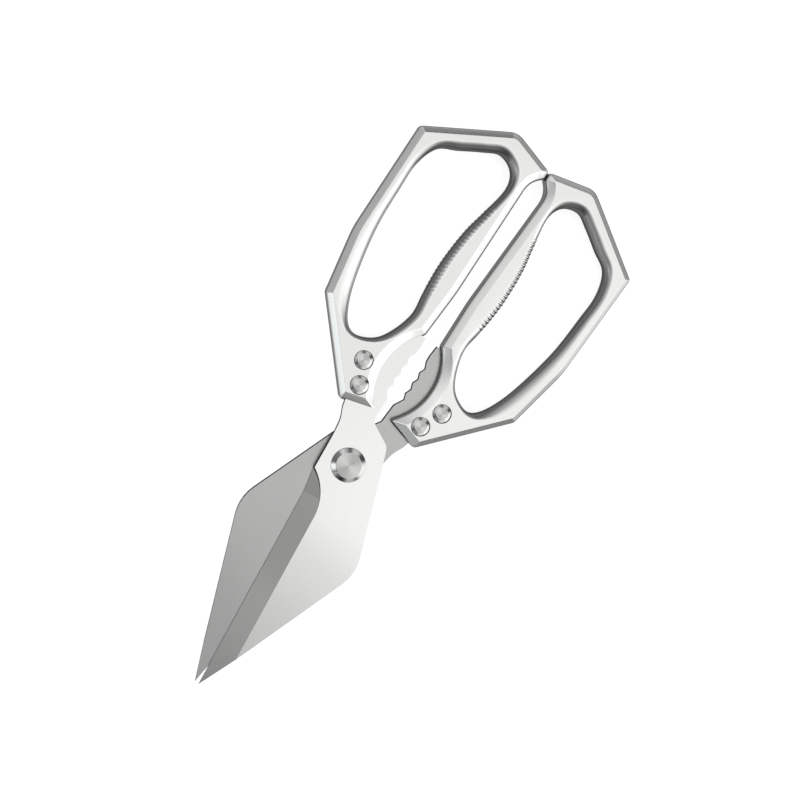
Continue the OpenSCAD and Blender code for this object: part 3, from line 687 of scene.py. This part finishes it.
stations = []
for k in range(RIB_COUNT * POINTS_A_RIB):
    d = k * RIB_PITCH / POINTS_A_RIB
    stations.append((ribs_end - ribs_l + d, rib_at(d)))
plain_n = round((girth - ribs_l) / PLAIN_STEP)
for k in range(plain_n):
    stations.append((ribs_end + k * (girth - ribs_l) / plain_n, 0))
print("stations:", len(stations))

# %% [markdown]
# Now the section. On the outside it is a chamfer, a wall and a chamfer, with every edge eased the
# way tumbling leaves it, and the last point of each face lies a little further in, so that the
# easing ends on the flat. Inside, the wall runs into the faces in a quarter of an ellipse. Both
# are lists of (share moved in, height), with one ring of points for each.

# %% The section as levels
CHAMFER_H = 2.1
EASE_RIM, EASE_WALL, LIP = 0.8, 0.9, 0.1
HOLE_ROUND_H = 3.6
ROUND_STEPS = 9
MOST_EASED = 0.45


def eased(points, radii, steps=4):
    out = [points[0]]
    for i in range(1, len(points) - 1):
        corner = Vector(points[i])
        a, b = Vector(points[i - 1]) - corner, Vector(points[i + 1]) - corner
        start = corner + a.normalized() * min(radii[i], a.length * MOST_EASED)
        end = corner + b.normalized() * min(radii[i], b.length * MOST_EASED)
        for k in range(steps + 1):
            t = k / steps
            out.append(tuple(start * (1 - t) ** 2 + corner * 2 * t * (1 - t) + end * t ** 2))
    return out + [points[-1]]


inner_end = OUTER_CHAMFER + LIP
section = [(inner_end, 0), (OUTER_CHAMFER, 0), (0, CHAMFER_H),
           (0, THICK - CHAMFER_H), (OUTER_CHAMFER, THICK), (inner_end, THICK)]
outer_levels = eased(section, [0, EASE_RIM, EASE_WALL, EASE_WALL, EASE_RIM, 0])
outer_levels = [(across / OUTER_CHAMFER, z) for across, z in outer_levels]


RIB_FROM, RIB_RISE = 0.08, 0.5


def rib_share(w):
    """How much of a rib's height stands at the angle w down the rounding."""
    start = max(0, min(1, (w - RIB_FROM) / RIB_RISE))
    end = max(0, w - math.pi / 4) / (math.pi / 4)
    return start * start * (3 - 2 * start) * mix(1, RIB_AT_WALL, end)


quarter = []
for k in range(ROUND_STEPS + 1):
    w = math.pi / 2 * k / ROUND_STEPS
    rib = rib_share(w)
    quarter.append((1 - math.sin(w), HOLE_ROUND_H * (1 - math.cos(w)), rib * math.sin(w), -rib * math.cos(w)))
hole_levels = quarter + [(out, THICK - z, rib_in, -rib_up) for out, z, rib_in, rib_up in reversed(quarter)]
print("rings of points outside and inside:", len(outer_levels), len(hole_levels))

# %% [markdown]
# Each level becomes a closed ring of points. Outside, it is the rounded outline moved in. Inside,
# each station is pushed away from the hole by its share of the rounding, and its rib stands in
# the other way. The direction comes from two places a little before and after the station.

# %% Rings of points
LOOK_AROUND = 0.6


def hole_ring(share, z, rib_in, rib_up):
    ring = []
    for s, rib in stations:
        away = -left_of((along(s + LOOK_AROUND) - along(s - LOOK_AROUND)).xy.normalized())
        here = along(s)
        place = here.xy + away * (here.z * share - rib * rib_in)
        ring.append((place.x * MM, place.y * MM, (z + rib * rib_up) * MM))
    return ring


def outer_ring(share, z):
    return [(x * MM, y * MM, z * MM) for x, y, _ in rounded(moved_in(CORNERS, share))]


# %% [markdown]
# Neighbouring rings are joined with quads, and the flat front and back between the outline and the
# hole are filled with triangles. Modelling the bow as a curve with a bevel would be quicker, but its
# section couldn't change on the way round. The outline's corners 1 to 5 start the outer edges, so
# the quads that belong to them get the finish of the outer chamfers.

# %% The loft
# Material slots: the middle one is the finger hole's finish, whose colour carries painted shade.
CAST, HOLE_SHADE, EDGE = 0, 1, 2
CAST_FINISHES = (satin_cast, hole_shade_cast, edge_cast)
OUTER_SIDES = range(1, 6)
outline = rounded(moved_in(CORNERS, 0))
outer_finish = [EDGE if corner in OUTER_SIDES else CAST for _, _, corner in outline]
print("points on the outer sides:", outer_finish.count(EDGE), "of", len(outline))


def add_cast_finishes(mesh):
    for finish in CAST_FINISHES:
        mesh.materials.append(finish)


def join_rings(build, rings, finish):
    for low, high in zip(rings, rings[1:]):
        n = len(low)
        for i in range(n):
            face = build.faces.new((low[i], low[(i + 1) % n], high[(i + 1) % n], high[i]))
            face.material_index = finish[i]


def handle_mesh():
    build = bmesh.new()
    outer = [[build.verts.new(p) for p in outer_ring(share, z)] for share, z in outer_levels]
    inner = [[build.verts.new(p) for p in hole_ring(*level)] for level in hole_levels]
    join_rings(build, outer, outer_finish)
    join_rings(build, inner, [HOLE_SHADE] * len(stations))
    for outer_loop, inner_loop in ((outer[0], inner[0]), (outer[-1], inner[-1])):
        loops = (outer_loop, inner_loop)
        rim = [build.edges.get((loop[i - 1], loop[i])) for loop in loops for i in range(len(loop))]
        bmesh.ops.triangle_fill(build, use_beauty=True, edges=rim)
    bmesh.ops.recalc_face_normals(build, faces=build.faces)
    mesh = bpy.data.meshes.new("right_handle_casting")
    build.to_mesh(mesh)
    build.free()
    add_cast_finishes(mesh)
    return mesh


# %% [markdown]
# The blade's shank sits in a slot, and the rivets sit in seats. Both are cut out with booleans: the
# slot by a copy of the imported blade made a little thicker, so it can't miss, and each seat by a
# turned spool, wide at the heads and narrow between them. Building the slot into the loft would
# need rings that split in two. The cutters are deleted once the cut is applied.

# %% Cutters
HEAD_R, SEAT = 3.55, 1.2
SLEEVE_R = 2.2
SEAT_FIT, SLEEVE_FIT, SLOT_FIT = 0.15, 0.05, 0.04
BEYOND = 1
SAME_PLACE = 1e-7
UPPER_RIVET, LOWER_RIVET = (18.1, 35.6), (14.1, 27.1)


def spun(name, profile, around=96):
    """Mesh of a profile of (radius, height) in mm, turned round the Z axis."""
    build = bmesh.new()
    ring = [build.verts.new((r * MM, 0, z * MM)) for r, z in profile]
    edges = [build.edges.new((a, b)) for a, b in zip(ring, ring[1:])]
    bmesh.ops.spin(build, geom=ring + edges, cent=(0, 0, 0), axis=(0, 0, 1), angle=2 * math.pi, steps=around,
                   use_merge=True)
    bmesh.ops.remove_doubles(build, verts=build.verts, dist=SAME_PLACE)
    bmesh.ops.recalc_face_normals(build, faces=build.faces)
    mesh = bpy.data.meshes.new(name)
    build.to_mesh(mesh)
    build.free()
    return mesh


def blade_cutter(node):
    """Copy of a packed blade, closed and thicker by the slot's fit on both faces."""
    build = bmesh.new()
    build.from_mesh(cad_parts[node].data)
    bmesh.ops.remove_doubles(build, verts=build.verts, dist=SAME_PLACE)
    heights = [v.co.z for v in build.verts]
    middle = (min(heights) + max(heights)) / 2
    for v in build.verts:
        v.co.z += math.copysign(SLOT_FIT * MM, v.co.z - middle)
    mesh = bpy.data.meshes.new(node + "_cutter")
    build.to_mesh(mesh)
    print(node, "cutter, open edges:", sum(not e.is_manifold for e in build.edges))
    build.free()
    packed_normals = mesh.attributes.get("custom_normal")
    if packed_normals:
        mesh.attributes.remove(packed_normals)
    return new_object(node + "_cutter", mesh)


def seat_cutter(x, y):
    wide = HEAD_R + SEAT_FIT
    narrow = SLEEVE_R + SLEEVE_FIT
    spool = [(0, -BEYOND), (wide, -BEYOND), (wide, SEAT), (narrow, SEAT), (narrow, THICK - SEAT),
             (wide, THICK - SEAT), (wide, THICK + BEYOND), (0, THICK + BEYOND)]
    cutter = new_object("seat_cutter", spun("seat_cutter", spool))
    cutter.location = (x * MM, y * MM, 0)
    return cutter


# %% [markdown]
# The cut casting is shaded smooth, with sharp edges where two faces meet at more than 32 degrees.
# Weighted normals then keep the flats flat and the eased edges soft, which plain smooth shading
# doesn't. The left handle is the right one turned over, so that one mould could give both.

# %% Cut, shade and place both handles
SHARP = math.radians(32)


def cut_casting(mesh, cutters):
    rough = new_object("rough_casting", mesh)
    for cutter in cutters:
        cut = rough.modifiers.new("cut", "BOOLEAN")
        cut.operation = "DIFFERENCE"
        cut.solver = "EXACT"
        cut.object = cutter
    bpy.context.view_layer.update()
    build = bmesh.new()
    build.from_object(rough, bpy.context.evaluated_depsgraph_get())
    done = bpy.data.meshes.new("casting")
    build.to_mesh(done)
    add_cast_finishes(done)
    print("casting, open edges:", sum(not e.is_manifold for e in build.edges))
    build.free()
    for helper in cutters + [rough]:
        bpy.data.objects.remove(helper)
    return done


def shaded(piece):
    piece.data.shade_smooth()
    piece.data.set_sharp_from_angle(angle=SHARP)
    weighted = piece.modifiers.new("weighted", "WEIGHTED_NORMAL")
    weighted.keep_sharp = True
    return piece


seats = [seat_cutter(*UPPER_RIVET), seat_cutter(*LOWER_RIVET)]
casting = cut_casting(handle_mesh(), [blade_cutter("rear_blade")] + seats)
turned_over = casting.copy()
turned_over.transform(Matrix.Translation((0, 0, THICK * MM)) @ Matrix.Rotation(math.pi, 4, "Y"))
for side, mesh, body in (("right", casting, "rear_half"), ("left", turned_over, "front_half")):
    handle = shaded(new_object(side + "_handle_casting", mesh))
    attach(handle, body)
    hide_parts(side + "_handle")
    print(handle.name, "faces:", len(mesh.polygons))

# %% [markdown]
# ## Turned pieces
# The pivot heads and the rivets come off a lathe, so each is a profile spun round its axis. The
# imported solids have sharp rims; a real rim is broken by a small round that catches the light. So
# each profile is softened before it is spun, and its faces and its rims get their own finishes.

# %% A helper that turns one piece
FACE_LEAN = 0.98
RIM_RADIUS = 0.12
RIM_STEPS = 3


def softened(points):
    return eased(points, [RIM_RADIUS] * len(points), steps=RIM_STEPS)


def turned_piece(name, profile, centre, node, body):
    mesh = spun(name, softened(profile))
    mesh.materials.append(turned_face)
    mesh.materials.append(turned_rim)
    for face in mesh.polygons:
        face.material_index = 0 if abs(face.normal.z) > FACE_LEAN else 1
    piece = shaded(new_object(name, mesh))
    piece.location = (centre[0] * MM, centre[1] * MM, 0)
    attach(piece, body)
    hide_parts(node)
    print(name, "faces:", len(mesh.polygons))
    return piece


# %% [markdown]
# The pivot's front piece is a barrel with a broad bevelled head. The blades turn on the barrel, and
# it is hollow for the screw behind. The head's disc is domed by less than a tenth of a millimetre:
# a truly flat disc would mirror one even tone, and the dome spreads the light over it.

# %% The pivot
BLADE_THICK, HALF_WASHER = 2.5, 0.15
FACE_Z = MIDDLE + HALF_WASHER + BLADE_THICK
BACK_Z = MIDDLE - HALF_WASHER - BLADE_THICK
BORE_R, BARREL_R, PIVOT_R = 2.52, 4, 6.6
BORE_END = FACE_Z + 0.6
HEAD_WALL = 0.5
PIVOT_BEVEL = 1.7
DOME, DOME_R = 0.08, 2.4
barrel = [(0, BORE_END), (BORE_R, BORE_END), (BORE_R, BACK_Z), (BARREL_R, BACK_Z), (BARREL_R, FACE_Z),
          (PIVOT_R, FACE_Z), (PIVOT_R, FACE_Z + HEAD_WALL), (PIVOT_R - PIVOT_BEVEL, THICK - DOME),
          (DOME_R, THICK - DOME / 4), (0, THICK)]
turned_piece("pivot_front_head", barrel, (0, 0), "pivot_barrel", "front_half")

# %% [markdown]
# Each rivet is a hollow sleeve pressed in from the front and a pin from the back. The front heads
# stand a little proud of the casting and have a broad bevel. The back heads are flush, so that the
# shears lie flat. All four rivets are alike, so one loop places them.

# %% The rivets
PROUD = 0.35
RIVET_BEVEL, RIVET_BEVEL_H = 1.2, 0.6
PIN_R, PIN_END, PIN_BEVEL = 1.4, 6.8, 0.3
HOLLOW_R, HOLLOW_END = 1.42, 7.2
TOP = THICK + PROUD
sleeve = [(0, HOLLOW_END), (HOLLOW_R, HOLLOW_END), (HOLLOW_R, SEAT), (SLEEVE_R, SEAT),
          (SLEEVE_R, THICK - SEAT), (HEAD_R, THICK - SEAT), (HEAD_R, TOP - RIVET_BEVEL_H),
          (HEAD_R - RIVET_BEVEL, TOP), (0, TOP)]
pin = [(0, PIN_END), (PIN_R, PIN_END), (PIN_R, SEAT), (HEAD_R, SEAT), (HEAD_R, PIN_BEVEL),
       (HEAD_R - PIN_BEVEL, 0), (0, 0)]
for side, across, body in (("left", -1, "front_half"), ("right", 1, "rear_half")):
    for level, (x, y) in (("upper", UPPER_RIVET), ("lower", LOWER_RIVET)):
        spot = side + "_" + level
        turned_piece(spot + "_rivet_front", sleeve, (across * x, y), spot + "_rivet_sleeve", body)
        turned_piece(spot + "_rivet_back", pin, (across * x, y), spot + "_rivet_pin", body)

# %% [markdown]
# The screw at the back has two small holes for a spanner, and the washer between the blades is
# hidden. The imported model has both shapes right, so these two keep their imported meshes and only
# get a finish.

# %% The screw and the washer
for node, finish in (("pivot_screw", turned_face), ("pivot_washer", plain_washer)):
    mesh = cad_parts[node].data
    mesh.materials.clear()
    mesh.materials.append(finish)
    print(node, "finish:", finish.name)
